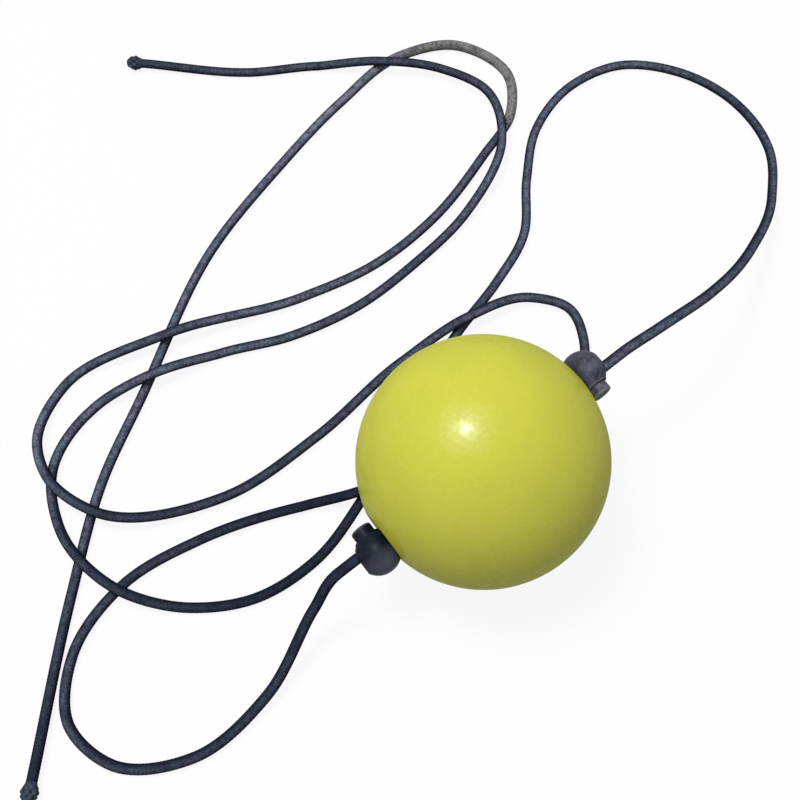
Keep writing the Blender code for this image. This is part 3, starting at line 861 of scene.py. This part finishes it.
class REFLEXBALL_OT_locks(Operator):
    """Mould the locks' bodies and buttons, and give the springs their wire"""

    bl_idname = "reflexball.locks"
    bl_label = "Mould the Locks"

    def execute(self, context):
        settings = context.scene.reflex_ball
        lock = settings.lock
        first_body = self.mould_body(lock)
        first_button = self.mould_button(lock)
        steel = steel_finish()
        for side, rubbed in (("upper", lock.upper_rubbed), ("lower", lock.lower_rubbed)):
            placing = self.placing(settings, side)
            plastic = plastic_finish(side + "_lock_plastic", lock, rubbed)
            body = self.copy(first_body, side + "_lock")
            settle(body, placing, LOCK_SMOOTH)
            dress(body, plastic, side + "_lock", "lock_plastic", side + "_lock_body")
            button = self.copy(first_button, side + "_button")
            settle(button, placing, LOCK_SMOOTH)
            dress(button, plastic, side + "_button", "plunger_plastic", side + "_lock_plunger")
            frame["nodes"][side + "_lock_spring"].material_slots[0].material = steel
        for done in (first_body, first_button):
            bpy.data.objects.remove(done, do_unlink=True)
        return {"FINISHED"}

    def placing(self, settings, side):
        """A lock's place: X out along the bore, Z out along its button."""
        out = BORE * SIDES[side]
        button = -Vector(JOINTS[side + "_button_press"]["axis"]).normalized()
        turned = Matrix((out, button.cross(out), button)).transposed().to_4x4()
        return Matrix.Translation(BALL_CENTRE + out * lock_reach(settings)) @ turned

    def copy(self, piece, name):
        """A copy with a mesh of its own."""
        made = piece.copy()
        made.data = piece.data.copy()
        made.name = made.data.name = name
        bpy.context.scene.collection.objects.link(made)
        return made

    def mould_body(self, lock):
        """A hollow bulb with a collar, two flats and a cross hole. Z is the button's axis and X the cord's."""
        bulb, centre = bulb_sizes(lock)
        cavity, collar = lock.cavity / 2, lock.collar / 2
        lip_in, lip_out, root = 0.12 * MM, 0.18 * MM, 0.12 * MM
        flat_round = 0.3 * MM
        fine = math.radians(15)  # the steps of the small roundings
        root_height = centre + math.sqrt((bulb + root) ** 2 - (collar + root) ** 2)
        root_centre = (collar + root, root_height)
        to_bulb = bearing(root_centre, (0, centre))
        foot = math.acos((-lock.base - centre) / bulb)
        profile = [(0, -lock.cavity_floor), (cavity, -lock.cavity_floor)]
        profile += arc((cavity + lip_in, lock.mouth - lip_in), lip_in, -QUARTER, 0, fine)
        profile += arc((collar - lip_out, lock.mouth - lip_out), lip_out, 0, QUARTER, fine)
        profile += arc(root_centre, root, -QUARTER, to_bulb, fine)
        profile += arc((0, centre), bulb, to_bulb + math.pi, foot)[1:]
        profile.append((0, -lock.base))
        body = turn("lock_pattern", profile, LOCK_STEPS)

        # Bisect leaves corners within 0.1 mm of its plane where they are. So the flats are uneven by as much,
        # and the rounding takes hold only on the edges that lie in the plane.
        reach = bulb - lock.flat
        bpy.ops.object.mode_set(mode="EDIT")
        for way in (1, -1):
            bpy.ops.mesh.select_all(action="SELECT")
            bpy.ops.mesh.bisect(
                plane_co=(way * reach, 0, 0), plane_no=(way, 0, 0), use_fill=True, clear_outer=True
            )
        close_seams()
        self.round_edges(body, lambda corner: abs(abs(corner.x) - reach) < NEAR, flat_round)
        bpy.ops.object.mode_set(mode="OBJECT")
        bpy.ops.object.select_all(action="DESELECT")
        bpy.ops.mesh.primitive_cylinder_add(
            vertices=HOLE_SIDES, radius=lock.hole / 2, depth=4 * bulb, rotation=(0, QUARTER, 0)
        )
        cut_away(body, bpy.context.object)
        corners = (np.array([corner.co for corner in body.data.vertices]) - (0, 0, centre)) / bulb
        mark(body, "foot", np.clip(-corners[:, 2], 0, 1))
        # Painted shade on the side of the bulb towards the ball.
        mark(body, "sheltered", np.interp(corners @ UNSHADED_WAY, PAINTED_SHADE_SPAN, (1, 0)))
        return body

    def mould_button(self, lock):
        """A crowned button with a rounded rim, and a slot that clears the cord over its travel."""
        radius, top, bottom = lock.button / 2, lock.button_top, -lock.button_bottom
        crown, edge, foot = 0.15 * MM, 0.6 * MM, 0.2 * MM
        face, shoulder = radius - edge, top - crown - edge
        crown_slope = math.radians(8)  # at the face's edge
        # The crown's line, in shares of the face's radius and of the crown's drop.
        crown_line = ((0, 0), (0.55, 0.25), (0.86, 0.7))
        profile = [(face * out, top - crown * down) for out, down in crown_line]
        profile += arc((face, shoulder), edge, crown_slope, QUARTER, step=math.radians(14))
        profile.append((radius, shoulder - edge / 4))
        profile += arc((radius - foot, bottom + foot), foot, QUARTER, math.pi, step=math.radians(30))
        profile.append((0, bottom))
        button = turn("button_pattern", profile, BUTTON_STEPS)
        bpy.ops.object.select_all(action="DESELECT")
        bpy.ops.mesh.primitive_cylinder_add(
            vertices=HOLE_SIDES, radius=lock.slot / 2, depth=4 * radius, rotation=(0, QUARTER, 0)
        )
        slot = bpy.context.object
        bpy.ops.object.transform_apply(location=True, rotation=True, scale=True)
        bpy.ops.object.mode_set(mode="EDIT")
        choose(slot, lambda corner: corner.z > NEAR)
        bpy.ops.transform.translate(value=(0, 0, lock.travel))
        bpy.ops.object.mode_set(mode="OBJECT")
        cut_away(button, slot)
        rim = edge * 1.1
        places = [(math.hypot(*corner.co.xy), corner.co.z) for corner in button.data.vertices]
        mark(button, "rim", [out > radius - rim and up > top - crown - rim for out, up in places])
        return button

    def round_edges(self, piece, wanted, width):
        """In edit mode: round the edges whose corners are all wanted."""
        choose(piece, wanted, "EDGE")
        bpy.ops.mesh.bevel(offset=width, segments=3, affect="EDGES")
        bpy.ops.mesh.select_mode(type="VERT")


class REFLEXBALL_PT_panel(Panel):
    """The reflex ball's steps and settings"""

    bl_idname = "REFLEXBALL_PT_panel"
    bl_label = "Reflex Ball"
    bl_space_type = "VIEW_3D"
    bl_region_type = "UI"
    bl_category = "Reflex Ball"

    def draw(self, context):
        layout = self.layout
        settings = context.scene.reflex_ball
        for operator, group in STEPS:
            layout.operator(operator.bl_idname)
            box = layout.box()
            for name in getattr(settings, group).bl_rna.properties.keys():
                if name not in ("rna_type", "name"):
                    box.prop(getattr(settings, group), name)


STEPS = (
    (REFLEXBALL_OT_stage, "stage"),
    (REFLEXBALL_OT_cords, "cord"),
    (REFLEXBALL_OT_knots, "knot"),
    (REFLEXBALL_OT_ball, "ball"),
    (REFLEXBALL_OT_locks, "lock"),
)
CLASSES = (
    BallSettings,
    CordSettings,
    KnotSettings,
    LockSettings,
    StageSettings,
    ReflexBallSettings,
    *(operator for operator, group in STEPS),
    REFLEXBALL_PT_panel,
)


def register():
    for item in CLASSES:
        bpy.utils.register_class(item)
    bpy.types.Scene.reflex_ball = PointerProperty(type=ReflexBallSettings)


def unregister():
    del bpy.types.Scene.reflex_ball
    for item in reversed(CLASSES):
        bpy.utils.unregister_class(item)


def main():
    register()
    bpy.ops.reflexball.stage()
    bpy.ops.reflexball.cords()
    bpy.ops.reflexball.knots()
    bpy.ops.reflexball.ball()
    bpy.ops.reflexball.locks()


if __name__ == "__main__":
    main()
